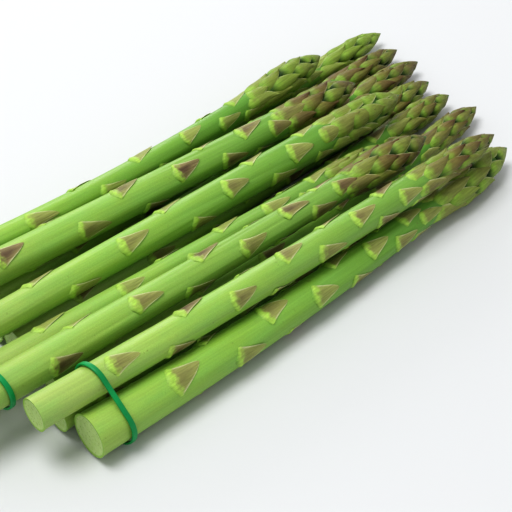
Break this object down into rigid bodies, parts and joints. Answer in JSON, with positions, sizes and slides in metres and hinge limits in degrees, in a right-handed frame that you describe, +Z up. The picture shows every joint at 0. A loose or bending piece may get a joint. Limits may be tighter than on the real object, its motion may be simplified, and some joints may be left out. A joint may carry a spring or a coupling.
{
  "type": "bundle of asparagus",
  "caption": "Bunch of fresh green asparagus spears lying in two layers, held near their cut ends by thin green rubber bands.",
  "frame": {"origin": "under the middle of the bundle's box, at the height of the table it lies on", "axes": "+X along the spears towards their tips, +Y across them to the side away from the picture's viewer, +Z up"},
  "size_m": [0.301, 0.1304, 0.0324],
  "materials": {
    "asparagus_flesh": "fresh waxy plant skin, satin",
    "rubber_band": "smooth satin"
  },
  "bodies": {
    "root": {"spear_01": "asparagus_flesh", "spear_02": "asparagus_flesh", "spear_03": "asparagus_flesh", "spear_04": "asparagus_flesh", "spear_05": "asparagus_flesh", "spear_06": "asparagus_flesh", "spear_07": "asparagus_flesh", "spear_08": "asparagus_flesh", "spear_09": "asparagus_flesh", "spear_10": "asparagus_flesh", "spear_11": "asparagus_flesh", "spear_12": "asparagus_flesh", "spear_13": "asparagus_flesh", "spear_14": "asparagus_flesh", "band_near": "rubber_band", "band_far": "rubber_band"}
  },
  "joints": []
}
